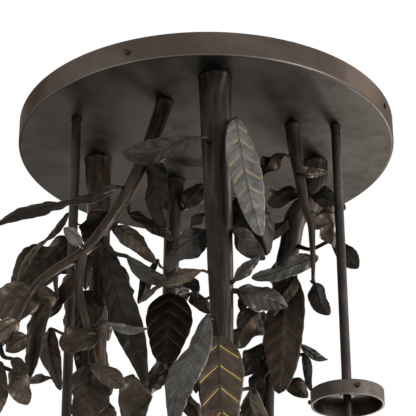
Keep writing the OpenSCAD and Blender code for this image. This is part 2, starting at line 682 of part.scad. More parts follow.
module branch_washers() {
    color(steel) for (p = branch_tops) translate([p[0], p[1], floor_z]) difference() {
        cylinder(d = washer_d, h = washer_t);
        translate([0, 0, -cut]) cylinder(d = stud_d + 2 * slip_gap, h = washer_t + 2 * cut);
    }
}

module branch_nuts() {
    color(steel) for (p = branch_tops) translate([p[0], p[1], floor_z + washer_t]) difference() {
        cylinder(d = nut_d, h = nut_h, $fn = 6);
        translate([0, 0, -cut]) cylinder(d = stud_d + 2 * thread_gap, h = nut_h + 2 * cut);
    }
}

module trunk() color(grey) branch_rod(trunk_route, trunk_top_d, trunk_end_d);
module left_branch() color(brown) branch_rod(left_route, left_top_d, left_end_d);
module left_twig() color(brown) branch_rod(twig_route, twig_top_d, twig_end_d);
module back_left_branch() color(brown) branch_rod(back_left_route, back_left_top_d, back_left_end_d);
module middle_branch() color(brown) branch_rod(middle_route, middle_top_d, middle_end_d);
module thin_branch() color(brown) branch_rod(thin_route, thin_top_d, thin_end_d);
module thick_branch() color(brown) branch_rod(thick_route, thick_top_d, thick_end_d);

module trunk_leaves(rows) color(grey) leaves(trunk_route, trunk_top_d, trunk_end_d, rows);
module left_leaves(rows) color(brown) leaves(left_route, left_top_d, left_end_d, rows);
module thick_leaves(rows) color(brown) leaves(thick_route, thick_top_d, thick_end_d, rows);
module left_twig_leaves() color(brown) leaves(twig_route, twig_top_d, twig_end_d, twig_rows);
module back_left_leaves() color(brown)
    leaves(back_left_route, back_left_top_d, back_left_end_d, back_left_rows);
module middle_leaves() color(grey) leaves(middle_route, middle_top_d, middle_end_d, middle_rows);
module thin_branch_leaves() color(brown) leaves(thin_route, thin_top_d, thin_end_d, thin_rows);

canopy_pan();
ceiling_bracket();
ground_screw();
terminal_block();
terminal_screws();
side_screw(0);  // side_screw_1
side_screw(1);  // side_screw_2
side_screw(2);  // side_screw_3
side_screw(3);  // side_screw_4
rod(0);  // rod_left
rod(1);  // rod_right
rod(2);  // rod_back
rod_nuts();
rod_collar(0);  // rod_collar_left
rod_collar(1);  // rod_collar_right
rod_collar(2);  // rod_collar_back
gallery(0);  // gallery_left
gallery(1);  // gallery_right
gallery(2);  // gallery_back
gallery_nuts();
stem(0);  // stem_left
stem(1);  // stem_right
stem(2);  // stem_back
holder_cap(0);  // holder_cap_left
holder_cap(1);  // holder_cap_right
holder_cap(2);  // holder_cap_back
lampholder(0);  // lampholder_left
lampholder(1);  // lampholder_right
lampholder(2);  // lampholder_back
thumb_screw(0, 0);  // thumb_screw_left_1
thumb_screw(0, 1);  // thumb_screw_left_2
thumb_screw(0, 2);  // thumb_screw_left_3
thumb_screw(1, 0);  // thumb_screw_right_1
thumb_screw(1, 1);  // thumb_screw_right_2
thumb_screw(1, 2);  // thumb_screw_right_3
thumb_screw(2, 0);  // thumb_screw_back_1
thumb_screw(2, 1);  // thumb_screw_back_2
thumb_screw(2, 2);  // thumb_screw_back_3
branch_studs();
branch_washers();
branch_nuts();
trunk();
left_branch();
left_twig();
back_left_branch();
middle_branch();
thin_branch();
thick_branch();
trunk_leaves(trunk_upper_rows);  // trunk_upper_leaves
trunk_leaves(trunk_lower_rows);  // trunk_lower_leaves
left_leaves(left_upper_rows);  // left_upper_leaves
left_leaves(left_lower_rows);  // left_lower_leaves
left_twig_leaves();
back_left_leaves();
middle_leaves();
thin_branch_leaves();
thick_leaves(thick_upper_rows);  // thick_upper_leaves
thick_leaves(thick_lower_rows);  // thick_lower_leaves
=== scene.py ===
"""Looks of the ceiling light: barked branches, embossed leaves, aged bronze, camera and light."""
import json
import math
import random

import bmesh
import bpy
import numpy as np
from mathutils import Matrix, Vector, noise


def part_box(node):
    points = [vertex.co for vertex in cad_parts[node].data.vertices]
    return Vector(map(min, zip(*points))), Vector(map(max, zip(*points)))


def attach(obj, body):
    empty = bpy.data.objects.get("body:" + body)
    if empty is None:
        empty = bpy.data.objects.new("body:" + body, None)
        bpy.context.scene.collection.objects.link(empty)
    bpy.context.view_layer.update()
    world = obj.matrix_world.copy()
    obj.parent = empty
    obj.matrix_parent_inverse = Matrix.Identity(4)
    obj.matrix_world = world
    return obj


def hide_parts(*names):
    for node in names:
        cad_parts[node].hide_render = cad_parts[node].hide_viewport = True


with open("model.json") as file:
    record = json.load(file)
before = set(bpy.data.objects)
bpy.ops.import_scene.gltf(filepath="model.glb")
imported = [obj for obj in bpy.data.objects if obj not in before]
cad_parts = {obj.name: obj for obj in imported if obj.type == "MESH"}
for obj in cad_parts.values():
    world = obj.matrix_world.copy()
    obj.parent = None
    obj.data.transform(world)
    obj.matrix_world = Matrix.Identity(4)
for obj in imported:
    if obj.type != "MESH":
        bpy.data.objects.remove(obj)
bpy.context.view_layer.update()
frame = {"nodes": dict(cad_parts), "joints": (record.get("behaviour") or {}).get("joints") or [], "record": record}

MM = 0.001
WELD = 0.02 * MM
# How the CAD draws leaves and branches: where a leaf's four widths lie along its blade, from the
# tip down, how many points its rings have, from the tip to the stem's start, and a branch's sides
CAD_STATIONS = (0.82, 0.58, 0.34, 0.14)
LEAF_RINGS = [1, 4, 4, 4, 4, 4, 4]
BRANCH_SIDES = 10

# The photograph's camera, solved from the canopy's ellipse and the rods
CAMERA_AT = Vector((0.0, -2.381, -1.327))
CAMERA_YAW, CAMERA_PITCH, CAMERA_ROLL = 0.06, 26.51, -0.28
FOCAL_PX, FRAME_PX, SENSOR_MM = 1656.0, 416, 36.0
CLIP_END = 50.0

# Finish of each leaf, from the top of its branch down: g grey, l light grey, k charcoal, b brown,
# t tan, d dark, c coppery. A capital lies flat with wide veins, and all but B have them gilded
LEAF_FINISH = {
    "trunk_upper_leaves": "Lgkkgg",
    "trunk_lower_leaves": "tgkgklTtbbbb",
    "left_upper_leaves": "kkbtdkgl",
    "left_lower_leaves": "dtbtbbbbtbb",
    "left_twig_leaves": "lbtbbbb",
    "back_left_leaves": "dtbkkdddbbbdttbbbb",
    "middle_leaves": "ckkDckkkbbbb",
    "thin_branch_leaves": "dbbttlk",
    "thick_upper_leaves": "gbkdcBdb",
    "thick_lower_leaves": "lkgkdbbbbb",
}
# Value and warmth of each finish. The value is partly the leaf's own tone and partly painted light and shade:
# brighter where the light falls on a leaf, darker where a leaf hangs in shadow
LEAF_TONE_AND_LIGHT = {
    "l": (0.66, 0.10), "g": (0.30, 0.20), "k": (0.10, 0.35), "b": (0.22, 0.85), "t": (0.58, 0.75),
    "d": (0.07, 0.80), "c": (0.22, 1.0),
    "L": (0.84, 0.10), "T": (0.36, 0.75), "D": (0.07, 0.80), "B": (0.22, 0.85),
}
# How bright the veins of a flat leaf are, and how far apart
WIDE_VEINS = {"L": (0.85, 28 * MM), "T": (1.0, 34 * MM), "D": (0.22, 23 * MM), "B": (0.0, 26 * MM)}


# Shader helpers

class Shader:
    """A small builder for one node material."""

    def __init__(self, name, **sockets):
        self.material = bpy.data.materials.new(name)
        self.material.use_nodes = True
        self.tree = self.material.node_tree
        self.bsdf = self.tree.nodes["Principled BSDF"]
        for socket, value in sockets.items():
            self.bsdf.inputs[socket.replace("_", " ")].default_value = value
        self.place = self.tree.nodes.new("ShaderNodeTexCoord").outputs["Object"]

    def link(self, source, socket):
        self.tree.links.new(source, socket)

    def put(self, socket, source):
        self.link(source, self.bsdf.inputs[socket])

    def fill(self, node, index, value):
        """Links an input of a node, or sets it where the value is plain."""
        if isinstance(value, bpy.types.NodeSocket):
            self.link(value, node.inputs[index])
        else:
            node.inputs[index].default_value = value

    def scaled(self, scale):
        node = self.tree.nodes.new("ShaderNodeMapping")
        node.inputs["Scale"].default_value = scale
        self.link(self.place, node.inputs["Vector"])
        return node.outputs["Vector"]

    def noise(self, scale, detail=4.0, rough=0.55, place=None, warp=0.0):
        node = self.tree.nodes.new("ShaderNodeTexNoise")
        node.inputs["Scale"].default_value = scale
        node.inputs["Detail"].default_value = detail
        node.inputs["Roughness"].default_value = rough
        node.inputs["Distortion"].default_value = warp
        self.link(place or self.place, node.inputs["Vector"])
        return node.outputs["Fac"]

    def math(self, operation, a, b=0.0, clamp=False):
        node = self.tree.nodes.new("ShaderNodeMath")
        node.operation = operation
        node.use_clamp = clamp
        self.fill(node, 0, a)
        self.fill(node, 1, b)
        return node.outputs[0]

    def span(self, value, low, high, to_low=0.0, to_high=1.0):
        """Turns low to high of a value into to_low to to_high, with soft ends."""
        node = self.tree.nodes.new("ShaderNodeMapRange")
        node.interpolation_type = "SMOOTHSTEP"
        self.fill(node, 0, value)
        for index, number in enumerate((low, high, to_low, to_high), 1):
            node.inputs[index].default_value = number
        return node.outputs[0]

    def mix(self, share, a, b):
        node = self.tree.nodes.new("ShaderNodeMix")
        node.data_type = "RGBA"
        self.fill(node, 0, share)
        for index, value in ((6, a), (7, b)):
            plain = not isinstance(value, bpy.types.NodeSocket)
            self.fill(node, index, (*value, 1.0) if plain else value)
        return node.outputs[2]

    def attribute(self, name):
        node = self.tree.nodes.new("ShaderNodeAttribute")
        node.attribute_name = name
        return node.outputs["Fac"]

    def bump(self, height, strength, distance, under=None):
        node = self.tree.nodes.new("ShaderNodeBump")
        node.inputs["Strength"].default_value = strength
        node.inputs["Distance"].default_value = distance
        self.link(height, node.inputs["Height"])
        if under:
            self.link(under, node.inputs["Normal"])
        return node.outputs["Normal"]


def srgb(red, green, blue):
    """Linear colour of an sRGB colour given from 0 to 255."""
    def linear(c):
        c /= 255
        return c / 12.92 if c <= 0.04045 else ((c + 0.055) / 1.055) ** 2.4
    return (linear(red), linear(green), linear(blue))


def shade(colour, share):
    """The colour with its light multiplied by a share."""
    return tuple(c * share for c in colour)


# Tint of the highlights on bark and leaves, which are duller than a clean paint
DULL_TINT = (0.60, 0.52, 0.44, 1.0)


def aged_bronze(name, dark, light, patch, metallic=0.85, rough=(0.38, 0.52), rim=None, sheen=0.85):
    """Satin paint in an oiled bronze finish: broad cloudy patches and fine mottle with lighter and darker spots.
    """
    tint = (sheen, 0.985 * sheen, 0.965 * sheen, 1.0)
    s = Shader(name, Metallic=metallic, Specular_Tint=tint)
    cloud = s.noise(patch, 3.0, 0.5, warp=0.6)
    mottle = s.noise(patch * 9, 5.0, 0.65)
    fine = s.noise(900.0, 3.0, 0.6)
    base = s.mix(s.span(cloud, 0.3, 0.7), dark, light)
    if rim:
        base = wall_tint_and_edge_highlight(s, base, cloud, *rim)
    wear_and_highlight = s.mix(s.span(mottle, 0.4, 0.75, 0.0, 0.2), base, shade(light, 1.4))
    s.put("Base Color", s.mix(s.span(mottle, 0.25, 0.5, 0.25, 0.0), wear_and_highlight, shade(dark, 0.6)))
    s.put("Roughness", s.span(mottle, 0.3, 0.7, *rough))
    s.put("Normal", s.bump(fine, 0.1, 0.2 * MM, s.bump(mottle, 0.08, 0.6 * MM)))
    return s.material


def wall_tint_and_edge_highlight(s, base, cloud, dark, light, height, wear_and_highlight):
    """Browner paint above the given height, with a painted highlight line along the rolled edge below it."""
    axes = s.tree.nodes.new("ShaderNodeSeparateXYZ")
    s.link(s.place, axes.inputs[0])
    z = axes.outputs["Z"]
    brown = s.mix(s.span(cloud, 0.35, 0.65), dark, light)
    tinted = s.mix(s.span(z, height - 2.5 * MM, height), base, brown)
    # Painted highlight: a lighter band on the rolled edge, where the edge catches the light
    line = s.math("MULTIPLY", s.span(z, height - 3.4 * MM, height - 2.6 * MM),
                  s.span(z, height - 2.2 * MM, height - 1.2 * MM, 1.0, 0.0))
    return s.mix(s.math("MULTIPLY", line, 0.6), tinted, wear_and_highlight)


def bark(name, dark, mid, light, rust, relief=1.0):
    """Cast bark: soft streaks along the branch, painted shade in the hollows, ridges lightened by wear and rusty
    patches.
    """
    s = Shader(name, Metallic=0.35, Specular_Tint=DULL_TINT, Specular_IOR_Level=0.3)
    grain = s.noise(70.0, 5.0, 0.6, s.scaled((1.0, 1.0, 0.10)), warp=0.5)
    patches = s.noise(17.0, 4.0, 0.6, warp=0.8)
    speckle = s.noise(190.0, 3.0, 0.6)
    depth = s.attribute("groove")
    base = s.mix(s.span(patches, 0.35, 0.65), mid, dark)
    rusty = s.mix(s.span(s.noise(9.0, 3.0, 0.5, warp=1.0), 0.5, 0.66, 0.0, 0.7), base, rust)
    rub_and_highlight = s.math("MULTIPLY", s.span(depth, 0.55, 0.95), s.span(grain, 0.4, 0.7))
    lit = s.mix(s.math("MULTIPLY", rub_and_highlight, 0.55), rusty, light)
    # Painted shade: darker in the deep grooves
    groove_shade = s.mix(s.span(depth, 0.05, 0.4, 0.7, 0.0), lit, shade(dark, 0.4))
    s.put("Base Color", s.mix(s.span(speckle, 0.55, 0.75, 0.0, 0.35), groove_shade, shade(dark, 0.5)))
    s.put("Roughness", s.span(grain, 0.3, 0.7, 0.30, 0.52))
    rough = s.bump(speckle, 0.2 * relief, 0.8 * MM)
    s.put("Normal", s.bump(grain, 0.3 * relief, 1.2 * MM, rough))
    return s.material


LEAF_COOL, LEAF_WARM = srgb(116, 116, 113), srgb(116, 98, 78)
LEAF_BLACK = (0.0, 0.0, 0.0)
LEAF_PATCH, LEAF_RUST = srgb(26, 20, 17), srgb(72, 50, 38)
# Painted shade: the dark of the streaks and of the creases
LEAF_STREAK_SHADE, LEAF_CREASE_SHADE = srgb(16, 12, 10), srgb(18, 14, 11)
# The first is the painted highlight on the streaks
LEAF_STREAK_HIGHLIGHT, LEAF_RIDGE, LEAF_RIM = srgb(146, 138, 130), srgb(150, 142, 132), srgb(140, 130, 120)
LEAF_GOLD = srgb(216, 174, 92)


def leaf_patina():
    """Embossed sheet: a tone for each leaf that is partly painted light and shade, streaks of painted highlight
    and shade, painted shade in the creases, ribs lightened by wear and gilded veins.
    """
    s = Shader("leaf_patina", Metallic=0.5, Specular_Tint=DULL_TINT, Specular_IOR_Level=0.3)
    tone, warm, gild = s.attribute("tone"), s.attribute("warm"), s.attribute("gild")
    vein, across, edge = s.attribute("vein"), s.attribute("across"), s.attribute("edge")
    cloud = s.noise(24.0, 4.0, 0.6, warp=0.7)
    fine = s.noise(240.0, 5.0, 0.7)
    along_veins = s.tree.nodes.new("ShaderNodeCombineXYZ")
    s.link(s.math("MULTIPLY", vein, 6.0), along_veins.inputs[0])
    s.link(s.math("MULTIPLY", across, 0.08), along_veins.inputs[1])
    s.link(s.attribute("chance"), along_veins.inputs[2])
    streak = s.noise(1.0, 4.0, 0.6, along_veins.outputs[0], warp=0.3)
    toned = s.mix(tone, LEAF_BLACK, s.mix(warm, LEAF_COOL, LEAF_WARM))
    patched = s.mix(s.span(cloud, 0.38, 0.62, 0.4, 0.0), toned, LEAF_PATCH)
    rusty = s.math("MULTIPLY", s.span(cloud, 0.52, 0.72, 0.0, 0.8), warm)
    rust = s.mix(rusty, patched, LEAF_RUST)
    # Painted shade: dark streaks along the veins, standing for the shading of the crinkled sheet
    streak_shaded = s.mix(s.span(streak, 0.35, 0.6, 0.3, 0.0), rust, LEAF_STREAK_SHADE)
    from_vein = s.math("PINGPONG", vein, 0.5)
    # Painted shade: darker along each vein's crease and along the midrib
    groove = s.span(from_vein, 0.0, 0.05, 0.45, 0.0)
    midrib = s.span(across, 0.5, 1.4, 0.45, 0.0)
    crease_shaded = s.mix(s.math("MAXIMUM", groove, midrib), streak_shaded, LEAF_CREASE_SHADE)
    # Painted highlight: the bright parts of the streaks, stronger on lighter leaves
    rub_and_highlight = s.math("MULTIPLY", s.span(streak, 0.55, 0.72, 0.0, 0.25), tone)
    wear_and_highlight = s.mix(rub_and_highlight, crease_shaded, LEAF_STREAK_HIGHLIGHT)
    beside = s.span(from_vein, 0.09, 0.16, 0.25, 0.0)
    ridge = s.math("MULTIPLY", s.span(from_vein, 0.03, 0.09), beside)
    ribbed = s.mix(s.math("MULTIPLY", ridge, tone), wear_and_highlight, LEAF_RIDGE)
    edge_wear = s.math("MULTIPLY", s.span(edge, 0.95, 0.99, 0.0, 0.5), s.span(tone, 0.0, 0.8))
    rim = s.mix(edge_wear, ribbed, LEAF_RIM)
    broken = s.span(s.noise(30.0, 2.0, 0.5), 0.36, 0.5)
    line = s.math("MULTIPLY", s.span(from_vein, 0.012, 0.027, 1.0, 0.0), s.span(across, 1.0, 2.5))
    line = s.math("MULTIPLY", line, s.span(edge, 0.86, 0.94, 1.0, 0.0))
    gold = s.math("MULTIPLY", s.math("MULTIPLY", line, broken), gild, clamp=True)
    s.put("Base Color", s.mix(gold, rim, LEAF_GOLD))
    s.put("Roughness", s.span(streak, 0.3, 0.7, 0.52, 0.36))
    s.put("Normal", s.bump(fine, 0.15, 0.4 * MM, s.bump(streak, 0.3, 1.0 * MM)))
    return s.material


def plain_metal(name, colour, rough):
    """Bare or plated metal, faintly spotted."""
    s = Shader(name, Metallic=1.0)
    spots = s.noise(320.0, 4.0, 0.6)
    s.put("Base Color", s.mix(s.span(spots, 0.3, 0.7), colour, shade(colour, 0.72)))
    s.put("Roughness", s.span(spots, 0.3, 0.7, rough, rough + 0.18))
    s.put("Normal", s.bump(spots, 0.1, 0.3 * MM))
    return s.material


def moulded(name, colour, rough):
    """Moulded plastic or thick paint, faintly clouded."""
    s = Shader(name)
    grain = s.noise(1400.0, 2.0, 0.5)
    flow = s.noise(40.0, 3.0, 0.5)
    s.put("Base Color", s.mix(s.span(flow, 0.3, 0.7, 0.0, 0.5), colour, shade(colour, 0.8)))
    s.put("Roughness", s.span(grain, 0.3, 0.7, rough, rough + 0.1))
    s.put("Normal", s.bump(grain, 0.15, 0.2 * MM))
    return s.material


# Reading the frame

def loose_parts(node):
    """The welded solids of a CAD node, each as a list of bmesh points."""
    bm = bmesh.new()
    bm.from_mesh(frame["nodes"][node].data)
    bmesh.ops.remove_doubles(bm, verts=bm.verts, dist=WELD)
    left, parts = set(bm.verts), []
    while left:
        part = [p for ring in spread([next(iter(left))]) for p in ring]
        left -= set(part)
        parts.append(part)
    return bm, parts


def spread(start):
    """Points grouped by how many edges away from the start they are."""
    rings, seen = [list(start)], set(start)
    while rings[-1]:
        ring = []
        for point in rings[-1]:
            for e in point.link_edges:
                other = e.other_vert(point)
                if other not in seen:
                    seen.add(other)
                    ring.append(other)
        rings.append(ring)
    return rings[:-1]


def middle(points):
    """The mean of some vectors."""
    return sum(points, Vector()) / len(points)


# Powers tried for the outline's widest place
PEAKS = np.arange(0.7, 1.45, 0.05)


class Leaf:
    """One leaf as the CAD solid has it: stem, base, tip, face direction, bow and width."""

    def __init__(self, rings):
        co = [[p.co.copy() for p in ring] for ring in rings]
        self.tip = np.array(co[0][0])
        self.base = np.array(middle(co[5]))
        self.start = np.array(middle(co[6]))
        self.blade = self.tip - self.base
        self.length = float(np.linalg.norm(self.blade))
        along = self.blade / self.length
        halves, normals, bows = [], [], []
        for u, ring in zip(CAD_STATIONS, co[1:5]):
            pairs = ((p, q) for p in ring for q in ring)
            a, b = max(pairs, key=lambda pair: (pair[0] - pair[1]).length)
            ribs = sorted((p for p in ring if p not in (a, b)), key=lambda p: p.y)
            halves.append((a - b).length / 2)
            normals.append(np.array(ribs[0] - ribs[1]))
            bows.append((np.array(middle(ribs)) - self.base - self.blade * u) / (4 * u * (1 - u)))
        normal = sum(normals)
        normal -= along * normal.dot(along)
        self.along, self.normal = along, normal / np.linalg.norm(normal)
        self.side = np.cross(along, self.normal)
        self.bow = sum(bows) / len(bows)
        self.fit_width(np.array(halves))

    def fit_width(self, halves):
        """Finds the half width and the two powers of the CAD outline's formula."""
        best = None
        for peak in PEAKS:
            x = np.log(np.sin(np.pi * np.array(CAD_STATIONS) ** peak))
            full, offset = np.polyfit(x, np.log(halves), 1)
            miss = np.abs(np.polyval((full, offset), x) - np.log(halves)).sum()
            if best is None or miss < best[0]:
                best = (miss, peak, full, math.exp(offset))
        _, self.peak, self.full, self.half = best

    def order(self):
        """Key that sorts leaves from the top down, then from left to right."""
        return (-round(self.start[2], 4), round(self.start[0], 4))


def leaves_of(node):
    """The leaves of a CAD node from the top down, or None where a solid reads otherwise."""
    bm, parts = loose_parts(node)
    found = []
    for part in parts:
        for point in part:
            rings = spread([point])
            if [len(r) for r in rings] == LEAF_RINGS:
                found.append(Leaf(rings))
                break
    whole = len(found) == len(parts)
    bm.free()
    return sorted(found, key=Leaf.order) if whole else None


def route_of(node):
    """Centre and radius of each ring of a branch, from the top down, or None."""
    bm, parts = loose_parts(node)
    top = max(p.co.z for p in bm.verts)
    rings = spread([p for p in bm.verts if p.co.z > top - WELD])
    whole = len(parts) == 1 and all(len(r) == BRANCH_SIDES for r in rings)
    centres = [np.array(middle([p.co for p in r])) for r in rings]
    radii = [np.mean([np.linalg.norm(np.array(p.co) - c) for p in r])
             for r, c in zip(rings, centres)]
    bm.free()
    return (np.array(centres), np.array(radii)) if whole else None


# Building meshes

def new_piece(name, points, faces, material, body, replaced):
    """A smooth mesh that stands for a CAD node and rides on its body."""
    mesh = bpy.data.meshes.new(name)
    mesh.from_pydata([tuple(p) for p in points], [], faces)
    mesh.polygons.foreach_set("use_smooth", [True] * len(mesh.polygons))
    mesh.materials.append(material)
    mesh.update()
    piece = bpy.data.objects.new(name, mesh)
    bpy.context.scene.collection.objects.link(piece)
    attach(piece, body)
    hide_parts(replaced)
    return piece


def float_layer(mesh, name, values):
    """A number at each point, which the materials read."""
    layer = mesh.attributes.new(name, "FLOAT", "POINT")
    layer.data.foreach_set("value", np.asarray(values, np.float32))


def tube_faces(rings, sides):
    """Quads between rings of points, closed round."""
    return [(i * sides + k, i * sides + (k + 1) % sides,
             (i + 1) * sides + (k + 1) % sides, (i + 1) * sides + k)
            for i in range(rings - 1) for k in range(sides)]


def end_faces(count, sides):
    """The two flat ends of a tube of count points."""
    return [tuple(range(sides))[::-1], tuple(range(count - sides, count))]


def grid_faces(rows, columns):
    """Quads between rows of points."""
    return [(i * columns + k, i * columns + k + 1, (i + 1) * columns + k + 1, (i + 1) * columns + k)
            for i in range(rows - 1) for k in range(columns - 1)]


CURVE_SAMPLES = 24


def smooth_path(points, values, step):
    """Evenly spaced points on a curve through the given points, with a value at each."""
    count = len(points)
    padded = np.vstack([2 * points[0] - points[1], points, 2 * points[-1] - points[-2]])
    dense, mixed = [], []
    for i in range(count - 1):
        p0, p1, p2, p3 = padded[i:i + 4]
        for t in np.linspace(0, 1, CURVE_SAMPLES, endpoint=False):
            dense.append(0.5 * (2 * p1 + (p2 - p0) * t + (2 * p0 - 5 * p1 + 4 * p2 - p3) * t * t
                                + (3 * p1 - p0 - 3 * p2 + p3) * t ** 3))
            mixed.append(values[i] * (1 - t) + values[i + 1] * t)
    dense.append(points[-1])
    mixed.append(values[-1])
    dense = np.array(dense)
    run = np.concatenate([[0], np.cumsum(np.linalg.norm(np.diff(dense, axis=0), axis=1))])
    stops = np.linspace(0, run[-1], max(4, int(run[-1] / step)) + 1)
    path = np.stack([np.interp(stops, run, dense[:, k]) for k in range(3)], axis=1)
    return path, np.interp(stops, run, mixed), stops


def directions(path):
    """The path's unit direction at each of its points."""
    d = np.gradient(path, axis=0)
    return d / np.linalg.norm(d, axis=1)[:, None]


def frames_along(path):
    """Two side vectors at each point of a path, turning as little as possible."""
    along = directions(path)
    x = np.cross((0, 1, 0), along[0])
    x /= np.linalg.norm(x)
    sides = []
    for d in along:
        x = x - d * x.dot(d)
        x /= np.linalg.norm(x)
        sides.append((x.copy(), np.cross(d, x)))
    return sides


BRANCHES = {
    # node: grooves round it, groove depth and dents as shares of the radius, material
    "trunk": (2.6, 0.015, 0.05, "trunk"),
    "left_branch": (2.4, 0.04, 0.10, "brown"),
    "left_twig": (2.0, 0.04, 0.10, "brown"),
    "back_left_branch": (2.8, 0.025, 0.07, "brown"),
    "middle_branch": (2.6, 0.025, 0.08, "brown"),
    "thin_branch": (2.4, 0.04, 0.11, "brown"),
    "thick_branch": (2.4, 0.02, 0.06, "thick"),
}
BARK_STEP = 3.0 * MM
BARK_SIDES = 56
BARK_OVER_CAD = 1.02
# How far apart swellings, grooves, fine marks and dents come along a branch
SWELL_LENGTH, GROOVE_LENGTH, FINE_LENGTH, DENT_LENGTH = 55 * MM, 75 * MM, 30 * MM, 60 * MM
# How much a branch widens where it meets the canopy, and over what length
FLARE = 1.6 * MM
FLARE_LENGTH = 5.0 * MM
# Rings of the rounded lower end, and its reach as a share of the radius
END_RINGS = 4
END_REACH = 0.55


def make_branch(node, grooves, depth, waviness, material):
    """A branch with flared top, long grooves, shallow dents and a rounded end."""
    route = route_of(node)
    if route is None:
        return
    path, radius, run = smooth_path(*route, BARK_STEP)
    radius = radius * BARK_OVER_CAD
    seed = Vector((sum(map(ord, node)) % 97, 3.0, 7.0))
    around = [2 * math.pi * k / BARK_SIDES for k in range(BARK_SIDES)]
    points, groove = [], []
    for centre, r, s, (x, y) in zip(path, radius, run, frames_along(path)):
        flare = FLARE * math.exp(-s / FLARE_LENGTH) if node != "left_twig" else 0.0
        swell = noise.noise(seed + Vector((0, 0, s / SWELL_LENGTH)))
        for a in around:
            ring = Vector((math.cos(a) * grooves, math.sin(a) * grooves, s / GROOVE_LENGTH))
            broad = Vector((math.cos(a) * 0.9, math.sin(a) * 0.9, s / DENT_LENGTH))
            coarse = noise.noise(seed + ring)
            fine = noise.noise(seed * 2 + Vector((ring.x * 2.3, ring.y * 2.3, s / FINE_LENGTH)))
            dent = noise.noise(seed * 3 + broad)
            ridge = 1 - 2 * min(1.0, abs(coarse) * 1.6)
            height = depth * (0.6 * ridge - 0.5 + 0.6 * fine)
            height += waviness * (0.6 * dent + 0.5 * swell - 0.1)
            reach = r * (1 + height) + flare
            points.append(centre + reach * (math.cos(a) * x + math.sin(a) * y))
            groove.append(min(1.0, max(0.0, 0.55 + 0.45 * ridge + 0.35 * fine)))
    end, out = path[-1], directions(path)[-1] * radius[-1] * END_REACH
    last = np.array(points[-BARK_SIDES:])
    for i in range(1, END_RINGS + 1):
        bend = math.pi / 2 * i / END_RINGS
        for p in last:
            points.append(end + (p - end) * math.cos(bend) * 0.999 + out * math.sin(bend))
            groove.append(0.4)
    rings = len(path) + END_RINGS
    faces = tube_faces(rings, BARK_SIDES) + end_faces(len(points), BARK_SIDES)
    piece = new_piece(node + "_bark", points, faces, material, "fixture", node)
    float_layer(piece.data, "groove", groove)


LEAF_ROWS = 48
LEAF_HALF_COLUMNS = 9
# Just inside the outline's two ends, so that its powers stay real
TIPS = (1e-4, 1 - 1e-4)
# Veins: their pitch as a share of the leaf's length, its limits, and how far they slant back
VEIN_SHARE = 0.15
VEIN_RANGE = (9 * MM, 23 * MM)
VEIN_SLANT = 0.9
# Pleats between the veins: their height as a share of the pitch, and where in it the crest is
PLEAT_SHARE = 0.085
PLEAT_CREST = 0.74
# Crumpling: its height as a share of the half width, and its size along and across the leaf
CRUMPLE = 0.16
CRUMPLE_LENGTH, CRUMPLE_WIDTH = 30 * MM, 22 * MM
# How far the tip and the midrib may stray, as a share of the length
WANDER = 0.03
RIB_HEIGHT, RIB_WIDTH = 1.3 * MM, 1.6 * MM
# Extra width of a leaf that its folds make narrower
SPREAD = 1.08
SHEET = 1.1 * MM
FULL_TURN = 6.28
# Ranges that a leaf's twist, turning, folds, ripples, curl and waves are drawn from
TWIST, TURNING, FOLD = (0.2, 1.1), (0.15, 0.45), (-0.15, 0.75)
RIPPLE, CURL, WAVES = (0.12, 0.30), (-0.5, 0.6), (0.9, 1.9)
# What a flat leaf keeps of the twist and crumpling, and of the folds and ripples
FLAT_TWIST, FLAT_FOLD = 0.25, 0.3
STEM_SIDES = 8
STEM_R = 2.0 * MM
STEM_WIDE, STEM_THIN = 1.5, 0.7
# Where the stem ends along the blade, and the share of the leaf's bow there
STEM_END, STEM_BOW = 0.12, 0.42
STEM_SAG, STEM_SWAY = 0.10, 0.08


def creased(a, b, c):
    """Sharp creases between rounded swellings, from 1 down."""
    return 1 - 3 * abs(noise.noise(Vector((a, b, c))))


class Embossing:
    """What makes one leaf unlike the next: its twist, folds, ripples, veins and tone."""

    def __init__(self, leaf, finish, rng):
        flat = finish.isupper()
        self.calm, still = (FLAT_TWIST, FLAT_FOLD) if flat else (1.0, 1.0)
        self.half = leaf.half if flat else SPREAD * leaf.half
        slim = min(1.0, leaf.length / (7 * leaf.half))
        self.twist = rng.choice((-1, 1)) * rng.uniform(*TWIST) * slim * self.calm
        self.turn = rng.uniform(*TURNING) * self.calm
        self.folds = [rng.uniform(*FOLD) * still for _ in (0, 1)]
        self.ripple = rng.uniform(*RIPPLE) * still
        self.curl = rng.uniform(*CURL) * self.calm
        self.waves = rng.uniform(*WAVES)
        self.shifts = rng.uniform(0, FULL_TURN), rng.uniform(0, FULL_TURN)
        self.hook = rng.uniform(-WANDER, WANDER) * leaf.length * self.calm
        self.wander = rng.uniform(-WANDER, WANDER) * leaf.length * self.calm
        # The value holds painted light and shade as well as the leaf's own tone
        value, self.warm = LEAF_TONE_AND_LIGHT[finish]
        self.tone = min(1.0, value * rng.uniform(0.85, 1.15))
        self.chance = rng.uniform(0, 50)
        pitch = min(max(VEIN_SHARE * leaf.length, VEIN_RANGE[0]), VEIN_RANGE[1])
        self.gild, self.pitch = WIDE_VEINS.get(finish, (0.0, pitch))


def leaf_grid(leaf, look):
    """Places u along the blade and v across it, with the half width and the vein number there."""
    u = np.linspace(0, 1, LEAF_ROWS)[:, None]
    t = np.linspace(-1, 1, 2 * LEAF_HALF_COLUMNS + 1)
    v = (np.sign(t) * np.abs(t) ** 1.2)[None, :]
    inside = np.clip(u, *TIPS)
    half = look.half * np.sin(np.pi * inside ** leaf.peak) ** leaf.full
    run = u * leaf.length
    vein = (run - VEIN_SLANT * np.abs(v) * half) / look.pitch + 0.5
    edge_vein = (run - VEIN_SLANT * half) / look.pitch + 0.5
    uneven = np.where(v > 0, np.sin(u * 8 + look.shifts[0]), np.sin(u * 7 + look.shifts[1]))
    half = half * (1 + 0.035 * (np.abs(np.sin(np.pi * edge_vein)) - 0.6) + 0.08 * uneven)
    return u, v, half, vein


